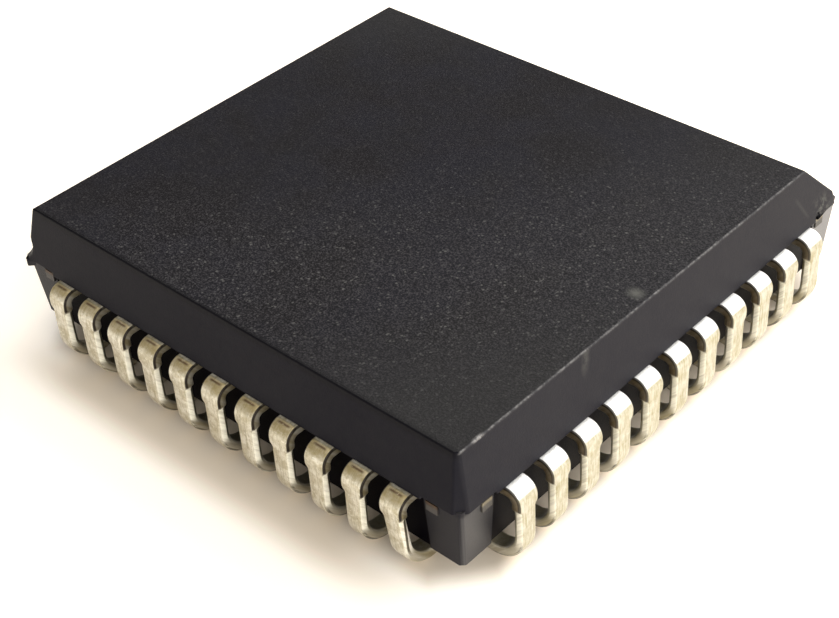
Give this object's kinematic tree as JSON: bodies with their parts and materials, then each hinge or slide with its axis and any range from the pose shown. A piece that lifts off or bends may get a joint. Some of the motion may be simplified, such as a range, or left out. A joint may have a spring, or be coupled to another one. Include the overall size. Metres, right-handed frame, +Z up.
{
  "type": "plcc chip",
  "caption": "Square black moulded chip package with tinned J-shaped leads rolled under on all four sides, a bevelled top edge on the first side and an index corner; solders flat or sockets.",
  "frame": {"origin": "on the seating plane, where the lead feet touch the board, under the middle of the package", "axes": "+Z up out of the board; +Y towards the bevelled first side; +X to the right when the first side is at the top"},
  "size_m": [0.0174, 0.0174, 0.0043],
  "materials": {
    "mould_compound": "matte, fine grained, slightly worn edges",
    "tinned_lead": "satin tin plate with draw marks and bare copper at the trimmed edges",
    "leadframe_copper": "bare copper alloy",
    "silver_epoxy": "matte grey",
    "silicon": "polished",
    "gold_wire": "bright"
  },
  "bodies": {
    "root": {"package_body": "mould_compound", "die_paddle": "leadframe_copper", "die_attach": "silver_epoxy", "silicon_die": "silicon", "bond_wires": "gold_wire", "lead_01": "tinned_lead", "lead_02": "tinned_lead", "lead_03": "tinned_lead", "lead_04": "tinned_lead", "lead_05": "tinned_lead", "lead_06": "tinned_lead", "lead_07": "tinned_lead", "lead_08": "tinned_lead", "lead_09": "tinned_lead", "lead_10": "tinned_lead", "lead_11": "tinned_lead", "lead_12": "tinned_lead", "lead_13": "tinned_lead", "lead_14": "tinned_lead", "lead_15": "tinned_lead", "lead_16": "tinned_lead", "lead_17": "tinned_lead", "lead_18": "tinned_lead", "lead_19": "tinned_lead", "lead_20": "tinned_lead", "lead_21": "tinned_lead", "lead_22": "tinned_lead", "lead_23": "tinned_lead", "lead_24": "tinned_lead", "lead_25": "tinned_lead", "lead_26": "tinned_lead", "lead_27": "tinned_lead", "lead_28": "tinned_lead", "lead_29": "tinned_lead", "lead_30": "tinned_lead", "lead_31": "tinned_lead", "lead_32": "tinned_lead", "lead_33": "tinned_lead", "lead_34": "tinned_lead", "lead_35": "tinned_lead", "lead_36": "tinned_lead", "lead_37": "tinned_lead", "lead_38": "tinned_lead", "lead_39": "tinned_lead", "lead_40": "tinned_lead", "lead_41": "tinned_lead", "lead_42": "tinned_lead", "lead_43": "tinned_lead", "lead_44": "tinned_lead"}
  },
  "joints": []
}
